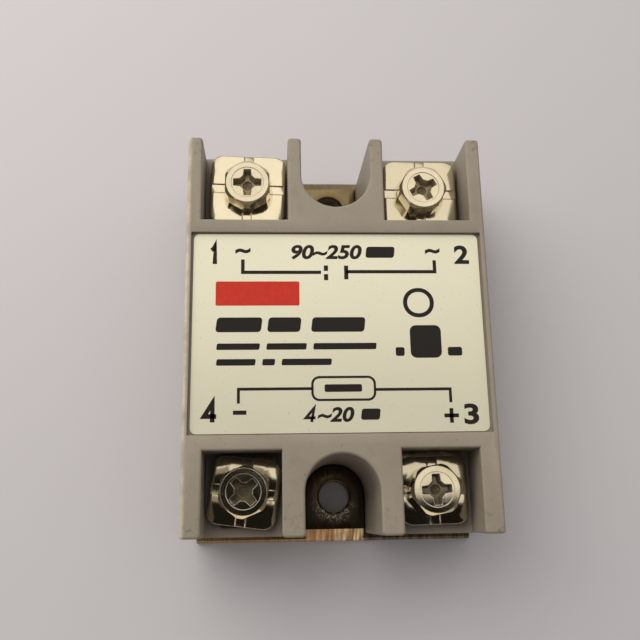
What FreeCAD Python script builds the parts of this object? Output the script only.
"""Panel-mount solid state relay, built as separate pieces (FreeCAD 1.1 macro, millimetres).

Frame: the origin is the centre of the base plate's underside, +Z points up through the label,
+Y points to the switched (output) end with terminals 1 and 2, and -Y to the control (input) end
with terminals 4 and 3. All rest positions are with the terminal screws tightened.
"""
import FreeCAD, Part
import math
import os

import Sketcher

DIMENSIONS = (
    # housing, outside
    ("housing_width", 45.0),
    ("housing_length", 59.6),
    ("overall_height", 21.0),
    ("corner_radius", 0.45),
    # base plate
    ("plate_width", 43.9),
    ("plate_length", 61.8),
    ("plate_thickness", 3.0),
    ("rim_thickness", 1.5),
    ("bevel_width", 1.85),
    ("pad_width", 9.3),
    ("pad_corner", 0.9),
    ("pad_centre", 23.8),
    ("far_hole", 24.95),
    ("near_hole", 24.05),
    ("hole_radius", 2.45),
    ("hole_lip", 0.45),
    # notches for the mounting screws
    ("notch_width", 10.58),
    ("notch_taper", 1.1),
    # terminal bays and the ribs beside them
    ("bay_floor", 13.2),
    ("far_outer_rib", 2.14),
    ("far_inner_rib", 2.04),
    ("far_bay_start", 16.4),
    ("near_outer_rib", 2.88),
    ("near_inner_rib", 3.16),
    ("near_bay_start", 17.95),
    ("rib_end_radius", 0.5),
    ("edge_radius", 0.38),
    # label and its recess
    ("recess_width", 43.48),
    ("recess_far", 14.34),
    ("recess_near", 15.81),
    ("recess_depth", 0.7),
    ("recess_corner", 0.15),
    ("label_gap", 0.18),
    ("label_corner", 0.9),
    ("label_thickness", 0.15),
    # inside of the housing
    ("side_wall", 2.4),
    ("end_wall", 2.0),
    ("web", 2.05),
    ("roof", 1.9),
    ("floor_thickness", 2.0),
    ("wall_gap", 0.2),
    # terminals
    ("screw_x", 13.8),
    ("screw_y", 23.5),
    ("strip_thickness", 0.8),
    ("strip_outer_end", 28.5),
    ("far_strip_width", 10.6),
    ("near_strip_width", 9.0),
    ("neck_width", 5.0),
    ("lug_corner", 1.2),
    ("lug_gap", 0.3),
    ("overlap", 0.2),
    ("bend_radius", 0.6),
    ("leg_gap", 0.25),
    ("collar_radius", 3.0),
    ("collar_depth", 1.0),
    ("thread_bore_radius", 2.05),
    ("collar_clearance", 0.1),
    ("screw_hole_radius", 2.35),
    ("screw_hole_bottom", 7.4),
    ("boss_radius", 4.3),
    ("boss_bottom", 6.2),
    # clamp plates
    ("far_clamp_width", 11.9),
    ("far_clamp_depth", 11.2),
    ("near_clamp_width", 10.1),
    ("near_clamp_depth", 9.8),
    ("clamp_thickness", 0.9),
    ("clamp_drop", 0.5),
    ("clamp_lip", 1.0),
    ("clamp_corner", 1.9),
    ("clamp_roll", 0.6),
    ("clamp_hole_radius", 2.1),
    ("groove_width", 1.55),
    ("groove_depth", 0.14),
    # terminal screws
    ("head_flats", 6.9),
    ("head_height", 2.9),
    ("head_crown_radius", 3.3),
    ("head_corner_radius", 3.74),
    ("head_chamfer_angle", 42.0),
    ("shank_radius", 1.98),
    ("shank_length", 7.4),
    ("thread_pitch", 0.7),
    ("thread_depth", 0.38),
    ("dish_radius", 2.5),
    ("dish_depth", 0.09),
    ("recess_span", 4.4),
    ("recess_wing", 1.15),
    ("recess_wing_depth", 1.6),
    ("recess_core", 2.3),
    ("recess_mouth", 1.3),
    ("recess_throat", 0.6),
    ("recess_flare", 0.1),
    # electronics
    ("insulator_width", 21.0),
    ("insulator_length", 22.5),
    ("insulator_thickness", 0.7),
    ("package_width", 15.4),
    ("package_length", 16.0),
    ("package_height", 4.4),
    ("package_far_end", 9.6),
    ("tab_thickness", 1.5),
    ("tab_reach", 4.0),
    ("case_inset", 0.4),
    ("gate_reach", 1.6),
    ("wire_radius", 0.35),
    ("lead_pitch", 5.45),
    ("lead_width", 1.2),
    ("lead_thickness", 0.6),
    ("lead_height", 6.0),
    ("board_width", 38.4),
    ("board_thickness", 1.2),
    ("board_height", 10.4),
    ("board_far_end", 12.2),
    ("potting_top", 9.6),
    ("arm_height", 3.0),
    ("package_standoff", 0.5),
    ("leg_pitch", 2.54),
    ("leg_half_width", 0.25),
    ("leg_half_thickness", 0.15),
    ("axial_wire", 0.3),
    ("axial_post", 0.35),
    ("axial_gap", 0.4),
    ("axial_reach", 2.0),
    ("can_radius", 2.5),
    ("can_length", 8.0),
    ("film_length", 11.0),
    ("film_depth", 5.2),
    ("film_height", 5.4),
    ("chip_length", 4.9),
    ("chip_width", 3.9),
    ("chip_height", 1.4),
    ("chip_standoff", 0.1),
    ("chip_leg_pitch", 1.27),
    ("chip_leg_width", 0.4),
    ("chip_leg_thickness", 0.3),
    ("chip_leg_start", 1.9),
    ("chip_leg_end", 3.0),
)

TERMINALS = (
    # number, side (-1 left, +1 right), end (+1 output, -1 input)
    (1, -1, 1),
    (2, 1, 1),
    (3, 1, -1),
    (4, -1, -1),
)
# How far each screw, with its hole and clamp, stands from its nominal place (X, Y).
SCREW_SHIFTS = {1: (0.2, 0.1), 2: (0.2, -0.6), 3: (-0.1, -0.1), 4: (-0.1, 0.0)}
CLAMP_TURNS = {1: -2.0, 2: -0.6, 3: 1.0, 4: -7.5}
SCREW_TURNS = {1: 0.0, 2: 27.0, 3: 3.0, 4: 41.0}
HEXAGON_TURNS = {1: 30.0, 2: 34.0, 3: 7.0, 4: 41.0}

DUAL_IN_LINE_PARTS = (
    # name, X, Y, length, width, height, legs on each side
    ("optocoupler", -2.0, 0.0, 8.4, 6.2, 3.2, 3),
    ("bridge_rectifier", 11.5, -1.0, 6.4, 6.0, 2.6, 2),
)

AXIAL_PARTS = (
    # name, X, Y, length of the barrel, its radius
    ("snubber_resistor", -2.5, 8.6, 9.0, 1.7),
    ("dropper_resistor", -12.0, 6.2, 5.6, 1.1),
    ("input_resistor", 11.0, -9.0, 6.4, 1.2),
    ("input_diode", -11.5, -10.6, 4.4, 1.2),
)

# X and Y of the axis's start, of the near left corner and of the centre.
CAN_PLACE = (-15.4, -4.0)
FILM_PLACE = (6.2, 5.0)
CHIP_PLACE = (0.0, -8.6)

document = FreeCAD.newDocument("solid_state_relay")
sub_parts = []


class Size:
    """A length that knows both its value and its spreadsheet expression."""

    def __init__(self, value, text):
        self.value = value
        self.text = text

    def combine(self, sign, other, value):
        return Size(value, "(%s %s %s)" % (self.text, sign, as_size(other).text))

    def __add__(self, other):
        return self.combine("+", other, self.value + as_size(other).value)

    def __sub__(self, other):
        return self.combine("-", other, self.value - as_size(other).value)

    def __mul__(self, other):
        return self.combine("*", other, self.value * as_size(other).value)

    def __truediv__(self, other):
        return self.combine("/", other, self.value / as_size(other).value)

    def __radd__(self, other):
        return as_size(other) + self

    def __rsub__(self, other):
        return as_size(other) - self

    def __rmul__(self, other):
        return as_size(other) * self

    def __neg__(self):
        return Size(-self.value, "(-1 * %s)" % self.text)


def as_size(number):
    """Wraps a plain number so that it can stand beside spreadsheet sizes."""
    return number if isinstance(number, Size) else Size(float(number), "%.6g" % number)


def make_sheet():
    """Writes the driving dimensions and returns them as Size objects by alias."""
    sheet = document.addObject("Spreadsheet::Sheet", "dims")
    for row, (alias, number) in enumerate(DIMENSIONS, start=1):
        sheet.set("A%d" % row, alias)
        sheet.set("B%d" % row, str(number))
        sheet.setAlias("B%d" % row, alias)
    document.recompute()
    return {alias: Size(number, "dims." + alias) for alias, number in DIMENSIONS}


D = make_sheet()


def bind(item, settings):
    """Binds properties of an object to spreadsheet expressions."""
    for name, size in settings.items():
        item.setExpression(name, as_size(size).text)


def place(item, x=0.0, y=0.0, z=0.0, turn=0.0):
    """Places a sub-part: a position from the sheet and a turn about +Z in degrees."""
    axis = FreeCAD.Vector(0, 0, 1)
    item.Placement = FreeCAD.Placement(FreeCAD.Vector(), FreeCAD.Rotation(axis, turn))
    bind(item, {"Placement.Base.x": x, "Placement.Base.y": y, "Placement.Base.z": z})


def finish(item, name):
    """Labels a finished sub-part with its own name and lists it for export."""
    item.Label = name
    sub_parts.append(item)


# ---------------------------------------------------------------- sketch helpers

def origin_plane(body, role):
    for feature in body.Origin.OriginFeatures:
        if feature.Role == role:
            return feature
    raise ValueError("no origin plane " + role)


def new_sketch(body, name, role="XY_Plane", level=0.0):
    """A sketch on one of the body's origin planes, lifted along its normal by level."""
    sketch = body.newObject("Sketcher::SketchObject", name)
    sketch.AttachmentSupport = [(origin_plane(body, role), "")]
    sketch.MapMode = "FlatFace"
    bind(sketch, {"AttachmentOffset.Base.z": level})
    return sketch


def pin_down(sketch, geometry, point, axis, size):
    """Fixes one coordinate of a sketch point from the sketch's origin."""
    size = as_size(size)
    kind = "DistanceX" if axis == "x" else "DistanceY"
    if abs(size.value) < 1e-9:
        on_axis = -2 if axis == "x" else -1
        sketch.addConstraint(Sketcher.Constraint("PointOnObject", geometry, point, on_axis))
        return
    if size.value > 0:
        ends = (-1, 1, geometry, point)
        text = size.text
    else:
        ends = (geometry, point, -1, 1)
        text = (-size).text
    index = sketch.addConstraint(Sketcher.Constraint(kind, *ends, abs(size.value)))
    sketch.setExpression("Constraints[%d]" % index, text)


def add_polygon(sketch, corners):
    """A closed outline of straight lines through corners given as (x, y) sizes."""
    corners = [(as_size(x), as_size(y)) for x, y in corners]
    first = sketch.GeometryCount
    count = len(corners)
    for index in range(count):
        start, end = corners[index], corners[(index + 1) % count]
        line = Part.LineSegment(FreeCAD.Vector(start[0].value, start[1].value, 0),
                                FreeCAD.Vector(end[0].value, end[1].value, 0))
        sketch.addGeometry(line, False)
    for index in range(count):
        following = first + (index + 1) % count
        sketch.addConstraint(Sketcher.Constraint("Coincident", first + index, 2, following, 1))
    for index, (x, y) in enumerate(corners):
        pin_down(sketch, first + index, 1, "x", x)
        pin_down(sketch, first + index, 1, "y", y)


def add_rectangle(sketch, left, right, low, high):
    add_polygon(sketch, ((left, low), (right, low), (right, high), (left, high)))


def add_circle(sketch, x, y, radius):
    x, y, radius = as_size(x), as_size(y), as_size(radius)
    centre = FreeCAD.Vector(x.value, y.value, 0)
    circle = sketch.addGeometry(Part.Circle(centre, FreeCAD.Vector(0, 0, 1), radius.value), False)
    pin_down(sketch, circle, 3, "x", x)
    pin_down(sketch, circle, 3, "y", y)
    index = sketch.addConstraint(Sketcher.Constraint("Radius", circle, radius.value))
    sketch.setExpression("Constraints[%d]" % index, radius.text)


def add_rounded_rectangle(sketch, half_width, half_depth, radius):
    """A rectangle about the sketch's origin with four round corners."""
    half_width, half_depth, radius = as_size(half_width), as_size(half_depth), as_size(radius)
    first = sketch.GeometryCount
    quarters = ((1, 1), (-1, 1), (-1, -1), (1, -1))
    for index, (x_sign, y_sign) in enumerate(quarters):
        centre_x, centre_y = (half_width - radius) * x_sign, (half_depth - radius) * y_sign
        circle = Part.Circle(FreeCAD.Vector(centre_x.value, centre_y.value, 0),
                             FreeCAD.Vector(0, 0, 1), radius.value)
        start = index * math.pi / 2
        arc = sketch.addGeometry(Part.ArcOfCircle(circle, start, start + math.pi / 2), False)
        pin_down(sketch, arc, 3, "x", centre_x)
        pin_down(sketch, arc, 3, "y", centre_y)
        row = sketch.addConstraint(Sketcher.Constraint("Radius", arc, radius.value))
        sketch.setExpression("Constraints[%d]" % row, radius.text)
        kinds = ("Horizontal", "Vertical") if index % 2 == 0 else ("Vertical", "Horizontal")
        sketch.addConstraint(Sketcher.Constraint(kinds[0], arc, 1, arc, 3))
        sketch.addConstraint(Sketcher.Constraint(kinds[1], arc, 2, arc, 3))
    for index in range(4):
        arc, following = first + index, first + (index + 1) % 4
        line = Part.LineSegment(sketch.getPoint(arc, 2), sketch.getPoint(following, 1))
        side = sketch.addGeometry(line, False)
        sketch.addConstraint(Sketcher.Constraint("Coincident", arc, 2, side, 1))
        sketch.addConstraint(Sketcher.Constraint("Coincident", side, 2, following, 1))


def add_arch(sketch, half_width, centre_y, end_y):
    """A U outline, open side squared off at end_y, with its round end centred on centre_y."""
    half_width, centre_y, end_y = as_size(half_width), as_size(centre_y), as_size(end_y)
    inward = -1 if end_y.value > 0 else 1
    centre = FreeCAD.Vector(0, centre_y.value, 0)
    first = sketch.GeometryCount
    circle = Part.Circle(centre, FreeCAD.Vector(0, 0, 1), half_width.value)
    start, end = (math.pi, 2 * math.pi) if inward < 0 else (0, math.pi)
    sketch.addGeometry(Part.ArcOfCircle(circle, start, end), False)
    side = half_width.value * (-1 if inward < 0 else 1)
    corners = (
        FreeCAD.Vector(side, centre_y.value, 0),
        FreeCAD.Vector(side, end_y.value, 0),
        FreeCAD.Vector(-side, end_y.value, 0),
        FreeCAD.Vector(-side, centre_y.value, 0),
    )
    for index in range(3):
        sketch.addGeometry(Part.LineSegment(corners[index], corners[index + 1]), False)
    links = ((0, 1, 1, 1), (1, 2, 2, 1), (2, 2, 3, 1), (3, 2, 0, 2))
    for a, a_end, b, b_end in links:
        sketch.addConstraint(Sketcher.Constraint("Coincident", first + a, a_end, first + b, b_end))
    pin_down(sketch, first, 3, "x", 0)
    pin_down(sketch, first, 3, "y", centre_y)
    index = sketch.addConstraint(Sketcher.Constraint("Radius", first, half_width.value))
    sketch.setExpression("Constraints[%d]" % index, half_width.text)
    sketch.addConstraint(Sketcher.Constraint("Horizontal", first, 1, first, 3))
    sketch.addConstraint(Sketcher.Constraint("Horizontal", first, 2, first, 3))
    sketch.addConstraint(Sketcher.Constraint("Vertical", first + 1))
    sketch.addConstraint(Sketcher.Constraint("Vertical", first + 3))
    sketch.addConstraint(Sketcher.Constraint("Horizontal", first + 2))
    pin_down(sketch, first + 1, 2, "y", end_y)


# --------------------------------------------------------------- feature helpers

def new_body(name):
    return document.addObject("PartDesign::Body", name + "_body")


def pad(body, sketch, length, down=False, midplane=False):
    feature = body.newObject("PartDesign::Pad", sketch.Name + "_pad")
    feature.Profile = sketch
    feature.Reversed = down
    if midplane:
        feature.SideType = "Symmetric"
    bind(feature, {"Length": length})
    document.recompute()
    return feature


def pocket(body, sketch, length, up=False, midplane=False, taper=None):
    """Cuts a sketch out of the body and makes sure that it really removed material."""
    before = body.Shape.Volume
    feature = body.newObject("PartDesign::Pocket", sketch.Name + "_pocket")
    feature.Profile = sketch
    feature.Reversed = up
    if midplane:
        feature.SideType = "Symmetric"
    bind(feature, {"Length": length})
    if taper is not None:
        bind(feature, {"TaperAngle": taper})
    document.recompute()
    if not body.Shape.Volume < before - 1e-4:
        raise ValueError(sketch.Name + " cut nothing")
    return feature


def edge_names(shape, wanted):
    """Names of the edges for which wanted(edge, bounding box) is true."""
    return ["Edge%d" % number for number, edge in enumerate(shape.Edges, start=1)
            if wanted(edge, edge.BoundBox)]


def is_upright(box):
    return box.XLength < 1e-4 and box.YLength < 1e-4


def fillet(body, name, wanted, radius):
    """Rounds the chosen edges of the body's last feature."""
    base = body.Tip
    names = edge_names(base.Shape, wanted)
    if not names:
        raise ValueError(name + " found no edges")
    feature = body.newObject("PartDesign::Fillet", name)
    feature.Base = (base, names)
    bind(feature, {"Radius": radius})
    document.recompute()
    return feature


def near(value, target, slack=1e-3):
    return abs(value - target) < slack


# ------------------------------------------------------------------------ shell

def bay_limits(side, end):
    """Left, right, inner and outer limits of one terminal bay."""
    half_width = D["housing_width"] / 2
    half_notch = D["notch_width"] / 2
    if end > 0:
        inner, outer = half_notch + D["far_inner_rib"], half_width - D["far_outer_rib"]
        start = D["far_bay_start"]
    else:
        inner, outer = half_notch + D["near_inner_rib"], half_width - D["near_outer_rib"]
        start = -D["near_bay_start"]
    left, right = (inner, outer) if side > 0 else (-outer, -inner)
    return left, right, start


def add_end_rectangle(sketch, left, right, start, stop):
    """A rectangle between two distances along Y, whichever of them is larger."""
    low, high = (start, stop) if start.value < stop.value else (stop, start)
    add_rectangle(sketch, left, right, low, high)


def make_base_plate():
    """Plated steel plate: a thin rim, a raised centre and a raised pad in each notch."""
    body = new_body("base_plate")
    half_width = D["plate_width"] / 2
    half_length = D["plate_length"] / 2
    rise = D["plate_thickness"] - D["rim_thickness"]

    rim = new_sketch(body, "plate_rim")
    add_rectangle(rim, -half_width, half_width, -half_length, half_length)
    pad(body, rim, D["rim_thickness"])

    centre = new_sketch(body, "plate_centre", level=D["rim_thickness"])
    half_well = D["housing_width"] / 2 - D["side_wall"] - D["wall_gap"]
    well_far = D["far_bay_start"] - D["web"] - D["wall_gap"]
    well_near = D["near_bay_start"] - D["web"] - D["wall_gap"]
    add_rectangle(centre, -half_well, half_well, -well_near, well_far)
    pad(body, centre, rise)

    for name, end in (("far", 1), ("near", -1)):
        raised = new_sketch(body, "plate_pad_" + name, level=D["rim_thickness"])
        add_arch(raised, D["pad_width"] / 2, D["pad_centre"] * end, half_length * end)
        pad(body, raised, rise)

    def pad_corner(edge, box):
        return (is_upright(box) and near(box.ZMax, D["plate_thickness"].value)
                and near(abs(box.YMax), half_length.value)
                and near(abs(box.XMax), D["pad_width"].value / 2))

    fillet(body, "pad_corners", pad_corner, D["pad_corner"])

    bevel = new_sketch(body, "end_bevels", "YZ_Plane")
    top = D["plate_thickness"]
    outside = half_length + 0.5
    for sign in (1, -1):
        inner = (half_length - D["bevel_width"]) * sign
        outer = outside * sign
        foot = top - (D["bevel_width"] + 0.5)
        add_polygon(bevel, ((inner, top), (outer, top), (outer, foot)))
    pocket(body, bevel, D["plate_width"] + 1, midplane=True)

    holes = new_sketch(body, "mounting_holes")
    for centre_y in (D["far_hole"], -D["near_hole"]):
        add_circle(holes, 0, centre_y, D["hole_radius"])
    pocket(body, holes, D["plate_thickness"], up=True)

    def hole_mouth(edge, box):
        return (box.ZLength < 1e-4 and near(box.ZMax, D["plate_thickness"].value)
                and near(box.XMax, D["hole_radius"].value, 0.01))

    fillet(body, "hole_lips", hole_mouth, D["hole_lip"])
    finish(body, "base_plate")


def make_housing():
    """Moulded shell: four bays, two drafted notches, a label recess and a well from below."""
    body = new_body("housing")
    half_width = D["housing_width"] / 2
    half_length = D["housing_length"] / 2
    top = D["overall_height"]
    bottom = D["rim_thickness"]
    beyond = half_length + 1

    block = new_sketch(body, "block", level=bottom)
    add_rectangle(block, -half_width, half_width, -half_length, half_length)
    pad(body, block, top - bottom)
    fillet(body, "block_corners", lambda edge, box: is_upright(box), D["corner_radius"])

    bays = new_sketch(body, "bays", level=top)
    for number, side, end in TERMINALS:
        left, right, start = bay_limits(side, end)
        add_end_rectangle(bays, left, right, start, beyond * end)
    pocket(body, bays, top - D["bay_floor"])

    notches = new_sketch(body, "notches", level=top)
    for end in (1, -1):
        add_arch(notches, D["notch_width"] / 2, D["pad_centre"] * end, beyond * end)
    pocket(body, notches, top - bottom, taper=-D["notch_taper"])

    def rib_end(edge, box):
        return (box.XLength < 0.5 and box.YLength < 0.5 and box.ZLength > 5
                and near(abs(box.YMax), half_length.value, 0.1)
                and near(box.ZMax, top.value))

    fillet(body, "rib_ends", rib_end, D["rib_end_radius"])

    recess = new_sketch(body, "label_recess", level=top)
    half_recess = D["recess_width"] / 2
    add_rectangle(recess, -half_recess, half_recess, -D["recess_near"], D["recess_far"])
    pocket(body, recess, D["recess_depth"])

    def recess_corner(edge, box):
        return is_upright(box) and near(abs(box.XMax), half_recess.value)

    fillet(body, "recess_corners", recess_corner, D["recess_corner"])

    def top_outline(edge, box):
        inside_recess = (box.XMax < half_recess.value + 0.01 and box.XMin > -half_recess.value - 0.01
                         and box.YMax < D["recess_far"].value + 0.01
                         and box.YMin > -D["recess_near"].value - 0.01)
        return box.ZLength < 1e-4 and near(box.ZMax, top.value) and not inside_recess

    fillet(body, "top_edges", top_outline, D["edge_radius"])

    well = new_sketch(body, "well", level=bottom)
    half_well = half_width - D["side_wall"]
    add_rectangle(well, -half_well, half_well,
                  D["web"] - D["near_bay_start"], D["far_bay_start"] - D["web"])
    pocket(body, well, top - D["roof"] - D["recess_depth"] - bottom, up=True)

    hollows = new_sketch(body, "hollows_under_bays", level=bottom)
    for number, side, end in TERMINALS:
        left, right, start = bay_limits(side, end)
        left, right = (left, half_well) if side > 0 else (-half_well, right)
        add_end_rectangle(hollows, left, right, start, (half_length - D["end_wall"]) * end)
    pocket(body, hollows, D["bay_floor"] - D["floor_thickness"] - bottom, up=True)

    bosses = new_sketch(body, "screw_bosses", level=D["bay_floor"] - D["floor_thickness"])
    collars = new_sketch(body, "collar_recesses", level=D["bay_floor"])
    shafts = new_sketch(body, "screw_holes", level=D["bay_floor"])
    slots = new_sketch(body, "strip_slots", level=D["bay_floor"] + D["strip_thickness"])
    collar = D["collar_radius"] + D["collar_clearance"]
    half_neck = D["neck_width"] / 2
    for number, side, end in TERMINALS:
        x, y = screw_place(number, side, end)
        neck_x = D["screw_x"] * side
        start = bay_limits(side, end)[2]
        add_circle(bosses, x, y, D["boss_radius"])
        add_circle(collars, x, y, collar)
        add_circle(shafts, x, y, D["screw_hole_radius"])
        add_end_rectangle(slots, neck_x - half_neck, neck_x + half_neck,
                          start + 0.5 * end, start - (D["web"] + 0.5) * end)
    pad(body, bosses, D["bay_floor"] - D["floor_thickness"] - D["boss_bottom"], down=True)
    pocket(body, collars, D["collar_depth"] + D["collar_clearance"])
    pocket(body, shafts, D["bay_floor"] - D["screw_hole_bottom"])
    pocket(body, slots, D["strip_thickness"])
    finish(body, "housing")


def make_label():
    """Printed sheet that lies in the recess."""
    body = new_body("label")
    outline = new_sketch(body, "label_outline", level=D["overall_height"] - D["recess_depth"])
    half_width = D["recess_width"] / 2 - D["label_gap"] * 2
    add_rectangle(outline, -half_width, half_width,
                  D["label_gap"] - D["recess_near"], D["recess_far"] - D["label_gap"])
    pad(body, outline, D["label_thickness"])
    fillet(body, "label_corners", lambda edge, box: is_upright(box), D["label_corner"])
    finish(body, "label")


# -------------------------------------------------------------------- terminals

def make_strip(number, side, end):
    """Terminal strip: a lug plate with a thread collar, a neck and a leg into the well."""
    body = new_body("terminal_strip_%d" % number)
    thickness = D["strip_thickness"]
    low = D["bay_floor"]
    output = end > 0
    lug_width = D["far_strip_width"] if output else D["near_strip_width"]
    start = D["far_bay_start"] if output else D["near_bay_start"]
    x = D["screw_x"]
    web_face = start - D["web"]
    leg_out = web_face - D["leg_gap"]
    leg_in = leg_out - thickness

    lug = new_sketch(body, "lug_%d" % number, level=low)
    corner = D["lug_corner"]
    inner, outer = start + D["lug_gap"], D["strip_outer_end"]
    half = lug_width / 2
    add_polygon(lug, ((-half, inner), (half, inner), (half, outer - corner), (half - corner, outer),
                      (corner - half, outer), (-half, outer - corner)))
    pad(body, lug, thickness)

    neck = new_sketch(body, "neck_%d" % number, level=low)
    half_neck = D["neck_width"] / 2
    add_rectangle(neck, -half_neck, half_neck, leg_in, inner + D["overlap"])
    pad(body, neck, thickness)

    foot = (D["lead_height"] - D["arm_height"] / 2) if output else D["board_height"]
    leg = new_sketch(body, "leg_%d" % number, "XZ_Plane", level=-leg_out)
    if output:
        reach = x - D["lead_pitch"] + D["lead_width"] if side < 0 else x + D["lead_width"]
        arm_top = foot + D["arm_height"]
        toward = -side
        far_edge, near_edge = half_neck * -toward, half_neck * toward
        outline = ((far_edge, foot), (reach * toward, foot), (reach * toward, arm_top),
                   (near_edge, arm_top), (near_edge, low + D["overlap"]),
                   (far_edge, low + D["overlap"]))
        add_polygon(leg, outline)
    else:
        add_rectangle(leg, -half_neck, half_neck, foot, low + D["overlap"])
    pad(body, leg, thickness)

    shift_x, shift_y = SCREW_SHIFTS[number]
    bore_x, bore_y = shift_x * end, D["screw_y"] + shift_y * end
    collar = new_sketch(body, "collar_%d" % number, level=low)
    add_circle(collar, bore_x, bore_y, D["collar_radius"])
    pad(body, collar, D["collar_depth"], down=True)

    bore = new_sketch(body, "bore_%d" % number, level=low + thickness)
    add_circle(bore, bore_x, bore_y, D["thread_bore_radius"])
    pocket(body, bore, thickness + D["collar_depth"])

    def outer_bend(edge, box):
        return (near(box.YMax, leg_in.value) and near(box.YMin, leg_in.value)
                and near(box.ZMax, (low + thickness).value) and box.ZLength < 1e-4)

    fillet(body, "bend_%d" % number, outer_bend, D["bend_radius"])
    if output:
        place(body, x=x * side)
    else:
        place(body, x=x * side, turn=180)
    finish(body, "terminal_strip_%d" % number)


def screw_place(number, side, end):
    """Where the axis of a terminal screw stands in X and Y."""
    shift_x, shift_y = SCREW_SHIFTS[number]
    return D["screw_x"] * side + shift_x, D["screw_y"] * end + shift_y


def clamp_rest():
    """Height of the underside of a clamp plate's rolled lips, resting on its strip."""
    return D["bay_floor"] + D["strip_thickness"]


def clamp_top():
    return clamp_rest() + D["clamp_drop"] + D["clamp_thickness"]


def make_clamp(number, side, end):
    """Square clamp plate with rolled side lips and a cross-shaped groove in its top."""
    body = new_body("clamp_plate_%d" % number)
    width = D["far_clamp_width"] if end > 0 else D["near_clamp_width"]
    depth = D["far_clamp_depth"] if end > 0 else D["near_clamp_depth"]
    height = D["clamp_thickness"] + D["clamp_drop"]
    half_width, half_depth = width / 2, depth / 2

    blank = new_sketch(body, "blank_%d" % number)
    add_rectangle(blank, -half_width, half_width, -half_depth, half_depth)
    pad(body, blank, height)

    inside = new_sketch(body, "underside_%d" % number)
    half_inside = half_width - D["clamp_lip"]
    add_rectangle(inside, -half_inside, half_inside, -half_depth - 1, half_depth + 1)
    pocket(body, inside, D["clamp_drop"], up=True)

    def side_edge(edge, box):
        return (box.ZLength < 1e-4 and near(box.ZMax, height.value)
                and near(abs(box.XMax), half_width.value) and box.XLength < 1e-4)

    fillet(body, "rolled_lips_%d" % number, side_edge, D["clamp_roll"])

    trim = new_sketch(body, "corner_trim_%d" % number)
    add_rectangle(trim, -half_width - 1, half_width + 1, -half_depth - 1, half_depth + 1)
    add_rounded_rectangle(trim, half_width, half_depth, D["clamp_corner"])
    pocket(body, trim, height, up=True)

    half_top = D["groove_width"] / 2
    half_bottom = half_top - D["groove_depth"]
    for name, role in (("across", "XZ_Plane"), ("along", "YZ_Plane")):
        groove = new_sketch(body, "groove_%s_%d" % (name, number), role)
        floor = height - D["groove_depth"]
        add_polygon(groove, ((-half_bottom, floor), (half_bottom, floor), (half_top, height),
                             (half_top, height + 0.5), (-half_top, height + 0.5),
                             (-half_top, height)))
        pocket(body, groove, D["far_clamp_width"] + 2, midplane=True)

    hole = new_sketch(body, "clamp_hole_%d" % number)
    add_circle(hole, 0, 0, D["clamp_hole_radius"])
    pocket(body, hole, height, up=True)
    x, y = screw_place(number, side, end)
    place(body, x, y, clamp_rest(), CLAMP_TURNS[number])
    finish(body, "clamp_plate_%d" % number)


def make_screw(number, side, end):
    """Terminal screw: hexagon head with a turned crown, cross recess and cut thread."""
    body = new_body("terminal_screw_%d" % number)
    head = D["head_height"]
    corner = D["head_flats"] / math.sqrt(3)

    hexagon = new_sketch(body, "hexagon_%d" % number)
    corners = []
    for step in range(6):
        angle = math.radians(HEXAGON_TURNS[number] + 60 * step)
        corners.append((corner * math.cos(angle), corner * math.sin(angle)))
    add_polygon(hexagon, corners)
    pad(body, hexagon, head)

    shank = new_sketch(body, "shank_%d" % number)
    add_circle(shank, 0, 0, D["shank_radius"])
    pad(body, shank, D["shank_length"], down=True)

    crown = new_sketch(body, "crown_%d" % number, "XZ_Plane")
    outside = corner + 0.5
    top_radius, turned_radius = D["head_crown_radius"], D["head_corner_radius"]
    fall = (turned_radius - top_radius) * math.tan(math.radians(D["head_chamfer_angle"].value))
    add_polygon(crown, ((top_radius, head), (outside, head), (outside, -0.1),
                        (turned_radius, -0.1), (turned_radius, head - fall)))
    tip = -D["shank_length"]
    thread_root = D["shank_radius"] - D["thread_depth"]
    add_polygon(crown, ((thread_root, tip), (D["shank_radius"] + 0.1, tip),
                        (D["shank_radius"] + 0.1, tip + D["thread_depth"] + 0.1)))
    cut = body.newObject("PartDesign::Groove", "turned_%d" % number)
    cut.Profile = crown
    cut.ReferenceAxis = (crown, ["V_Axis"])
    cut.Angle = 360.0
    document.recompute()

    dish = new_sketch(body, "dish_%d" % number, level=head)
    add_circle(dish, 0, 0, D["dish_radius"])
    pocket(body, dish, D["dish_depth"])

    wings = new_sketch(body, "wings_%d" % number, level=head)
    half_span, half_wing = D["recess_span"] / 2, D["recess_wing"] / 2
    throat = half_wing + D["recess_throat"]
    flare = half_wing + D["recess_flare"]
    quarter = ((half_span, -half_wing), (half_span, half_wing), (throat, flare), (flare, throat))
    outline = []
    for step in range(4):
        cosine, sine = ((1, 0), (0, 1), (-1, 0), (0, -1))[step]
        for px, py in quarter:
            outline.append((px * cosine - py * sine, px * sine + py * cosine))
    add_polygon(wings, outline)
    pocket(body, wings, D["recess_wing_depth"], taper=-12)

    core = new_sketch(body, "core_%d" % number, "XZ_Plane")
    floor = head - D["recess_core"]
    mouth, tip_radius = D["recess_mouth"], D["recess_mouth"] / 2
    add_polygon(core, ((0, head + 0.1), (mouth, head + 0.1), (tip_radius, floor + 0.4), (0, floor)))
    drilled = body.newObject("PartDesign::Groove", "core_cut_%d" % number)
    drilled.Profile = core
    drilled.ReferenceAxis = (core, ["V_Axis"])
    drilled.Angle = 360.0
    document.recompute()

    cut_thread(body, number)
    x, y = screw_place(number, side, end)
    place(body, x, y, clamp_top(), SCREW_TURNS[number])
    finish(body, "terminal_screw_%d" % number)


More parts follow.
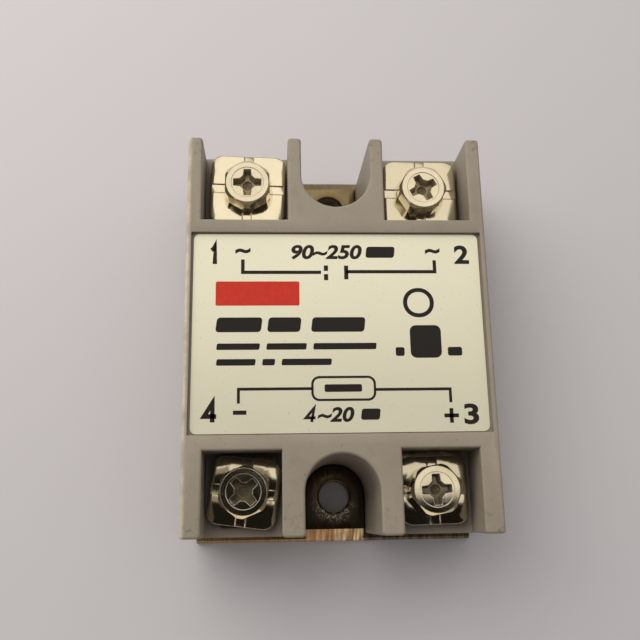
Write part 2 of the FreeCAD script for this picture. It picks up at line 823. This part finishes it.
def cut_thread(body, number):
    """Right-hand thread groove along the shank, run out below the head."""
    profile = new_sketch(body, "thread_%d" % number, "XZ_Plane")
    root = D["shank_radius"] - D["thread_depth"]
    crest = D["shank_radius"] + 0.05
    half_pitch = D["thread_pitch"] * 0.44
    start = -D["shank_length"] - D["thread_pitch"]
    add_polygon(profile, ((root, start - 0.05), (root, start + 0.05),
                          (crest, start + half_pitch), (crest, start - half_pitch)))
    before = body.Shape.Volume
    helix = body.newObject("PartDesign::SubtractiveHelix", "thread_cut_%d" % number)
    helix.Profile = profile
    helix.ReferenceAxis = (profile, ["V_Axis"])
    helix.Mode = "pitch-height-angle"
    bind(helix, {"Pitch": D["thread_pitch"], "Height": D["shank_length"] - D["thread_pitch"] * 0.4})
    helix.LeftHanded = False
    document.recompute()
    if not body.Shape.Volume < before - 1e-3:
        raise ValueError("the thread of screw %d cut nothing" % number)


# ------------------------------------------------------------------ electronics

def add_box(name, left, right, low_y, high_y, low, high):
    """A Part::Box between two corners, all six bound to the sheet."""
    box = document.addObject("Part::Box", name)
    left, low_y, low = as_size(left), as_size(low_y), as_size(low)
    bind(box, {
        "Length": as_size(right) - left,
        "Width": as_size(high_y) - low_y,
        "Height": as_size(high) - low,
        "Placement.Base.x": left,
        "Placement.Base.y": low_y,
        "Placement.Base.z": low,
    })
    return box


def add_rod(name, x, y, z, radius, length, direction=(0, 0, 1)):
    """A Part::Cylinder from (x, y, z) along direction."""
    rod = document.addObject("Part::Cylinder", name)
    turn = FreeCAD.Rotation(FreeCAD.Vector(0, 0, 1), FreeCAD.Vector(*direction))
    rod.Placement = FreeCAD.Placement(FreeCAD.Vector(), turn)
    bind(rod, {
        "Radius": radius,
        "Height": length,
        "Placement.Base.x": x,
        "Placement.Base.y": y,
        "Placement.Base.z": z,
    })
    return rod


def fuse(name, shapes):
    joined = document.addObject("Part::MultiFuse", name)
    joined.Shapes = shapes
    joined.Refine = True
    return joined


def board_top():
    return D["board_height"] + D["board_thickness"]


def make_insulator():
    plate = add_box("insulator_plate", -D["insulator_width"] / 2, D["insulator_width"] / 2,
                    D["package_far_end"] + 1 - D["insulator_length"], D["package_far_end"] + 1,
                    D["plate_thickness"], D["plate_thickness"] + D["insulator_thickness"])
    finish(plate, "insulator")


def make_triac():
    """Flat power package with a thick metal tab and three leads."""
    low = D["plate_thickness"] + D["insulator_thickness"]
    far = D["package_far_end"]
    near_end = far - D["package_length"]
    half = D["package_width"] / 2
    tab_top = low + D["tab_thickness"]
    tab = add_box("triac_tab", -half, half, near_end - D["tab_reach"], far, low, tab_top)
    case = add_box("triac_case", D["case_inset"] - half, half - D["case_inset"], near_end, far,
                   tab_top, low + D["package_height"])
    pieces = [tab, case]
    lead_low = D["lead_height"] - D["lead_thickness"] / 2
    lead_high = D["lead_height"] + D["lead_thickness"] / 2
    leg_in = D["far_bay_start"] - D["web"] - D["leg_gap"] - D["strip_thickness"]
    gate_end = far + D["gate_reach"]
    half_lead = D["lead_width"] / 2
    for index, end in enumerate((leg_in, leg_in, gate_end)):
        x = D["lead_pitch"] * (index - 1)
        pieces.append(add_box("triac_lead_%d" % index, x - half_lead, x + half_lead, far - 0.5, end,
                              lead_low, lead_high))
    finish(fuse("triac_fused", pieces), "triac")


def make_gate_lead():
    """Wire from the triac's gate lead up to the circuit board's underside."""
    x = D["lead_pitch"]
    y = D["package_far_end"] + D["gate_reach"] - 0.5
    low = D["lead_height"] + D["lead_thickness"] / 2
    wire = add_rod("gate_wire", x, y, low, D["wire_radius"], D["board_height"] - low)
    finish(wire, "gate_lead")


def make_board():
    half = D["board_width"] / 2
    near_end = D["web"] - D["near_bay_start"] + D["leg_gap"] + D["strip_thickness"]
    board = add_box("board_blank", -half, half, near_end, D["board_far_end"],
                    D["board_height"], board_top())
    finish(board, "circuit_board")


def make_dual_in_line(name, x, y, length, width, height, legs_per_side):
    """Moulded package standing on the board on two rows of legs."""
    base = board_top()
    case_low = base + D["package_standoff"]
    half_width, half_thickness = D["leg_half_width"], D["leg_half_thickness"]
    pieces = [add_box(name + "_case", x - length / 2, x + length / 2, y - width / 2, y + width / 2,
                      case_low, case_low + height)]
    for row in (-1, 1):
        for index in range(legs_per_side):
            leg_x = x + (index - (legs_per_side - 1) / 2) * D["leg_pitch"]
            leg_y = y + row * (width / 2 + 0.1)
            pieces.append(add_box("%s_leg_%d_%d" % (name, row + 1, index),
                                  leg_x - half_width, leg_x + half_width,
                                  leg_y - half_thickness, leg_y + half_thickness,
                                  base, case_low + height / 2))
    finish(fuse(name + "_fused", pieces), name)


def make_axial(name, x, y, length, radius):
    """Axial component lying along X with its leads bent down to the board."""
    base = board_top()
    centre_z = base + D["axial_gap"] + radius
    post = D["axial_post"]
    span = length + D["axial_reach"] * 2
    pieces = [
        add_rod(name + "_barrel", x - length / 2, y, centre_z, radius, length, (1, 0, 0)),
        add_rod(name + "_wire", x - span / 2, y, centre_z, D["axial_wire"], span, (1, 0, 0)),
    ]
    for index, lead_x in enumerate((x - span / 2, x + span / 2)):
        pieces.append(add_box("%s_drop_%d" % (name, index), lead_x - post, lead_x + post,
                              y - post, y + post, base, centre_z + post))
    finish(fuse(name + "_fused", pieces), name)


def make_capacitors():
    """Round electrolytic can lying along Y, and an upright film block."""
    base = board_top()
    x, y = CAN_PLACE
    can = add_rod("can", x, y, base + D["can_radius"], D["can_radius"], D["can_length"], (0, 1, 0))
    finish(can, "filter_capacitor")
    x, y = FILM_PLACE
    block = add_box("film_block", x, x + D["film_length"], y, y + D["film_depth"],
                    base, base + D["film_height"])
    finish(block, "snubber_capacitor")


def make_control_chip():
    """Small surface-mount chip with four legs a side."""
    base = board_top()
    x, y = CHIP_PLACE
    half_length, half_width = D["chip_length"] / 2, D["chip_width"] / 2
    case_low = base + D["chip_standoff"]
    pieces = [add_box("chip_case", x - half_length, x + half_length, y - half_width, y + half_width,
                      case_low, case_low + D["chip_height"])]
    half_leg = D["chip_leg_width"] / 2
    for row in (-1, 1):
        start, stop = D["chip_leg_start"] * row, D["chip_leg_end"] * row
        low_y, high_y = (start, stop) if row > 0 else (stop, start)
        for index in range(4):
            leg_x = x + (index - 1.5) * D["chip_leg_pitch"]
            pieces.append(add_box("chip_leg_%d_%d" % (row + 1, index),
                                  leg_x - half_leg, leg_x + half_leg, y + low_y, y + high_y,
                                  base, base + D["chip_leg_thickness"]))
    finish(fuse("chip_fused", pieces), "control_chip")


def make_electronics():
    make_insulator()
    make_triac()
    make_gate_lead()
    make_board()
    make_control_chip()
    make_capacitors()
    for row in DUAL_IN_LINE_PARTS:
        make_dual_in_line(*row)
    for row in AXIAL_PARTS:
        make_axial(*row)


def make_potting(embedded):
    """Potting compound around everything embedded in the lower part of the well."""
    half_well = D["housing_width"] / 2 - D["side_wall"]
    fill = add_box("potting_fill", -half_well, half_well,
                   D["web"] - D["near_bay_start"], D["far_bay_start"] - D["web"],
                   D["plate_thickness"], D["potting_top"])
    tools = fuse("embedded_pieces", embedded)
    cut = document.addObject("Part::Cut", "potting_cut")
    cut.Base = fill
    cut.Tool = tools
    cut.Refine = True
    finish(cut, "potting")


# ----------------------------------------------------------------------- export

def check_document():
    """Stops if any object failed or any sub-part has no valid shape."""
    document.recompute()
    for item in document.Objects:
        if "Invalid" in item.State or "Error" in item.State:
            raise ValueError("%s is in state %s" % (item.Name, item.State))
    for item in sub_parts:
        if item.Shape.isNull() or not item.Shape.isValid():
            raise ValueError(item.Label + " has no valid shape")


def export_parts():
    os.makedirs("parts", exist_ok=True)
    for item in sub_parts:
        item.Shape.exportStep("parts/%s.step" % item.Label)
        solids = len(item.Shape.Solids)
        print("%-20s solids %d volume %.1f" % (item.Label, solids, item.Shape.Volume))


make_base_plate()
make_housing()
make_label()
for number, side, end in TERMINALS:
    make_strip(number, side, end)
    make_clamp(number, side, end)
    make_screw(number, side, end)
make_electronics()
embedded_names = ("insulator", "triac", "gate_lead", "terminal_strip_1", "terminal_strip_2")
make_potting([item for item in sub_parts if item.Label in embedded_names])
check_document()
export_parts()
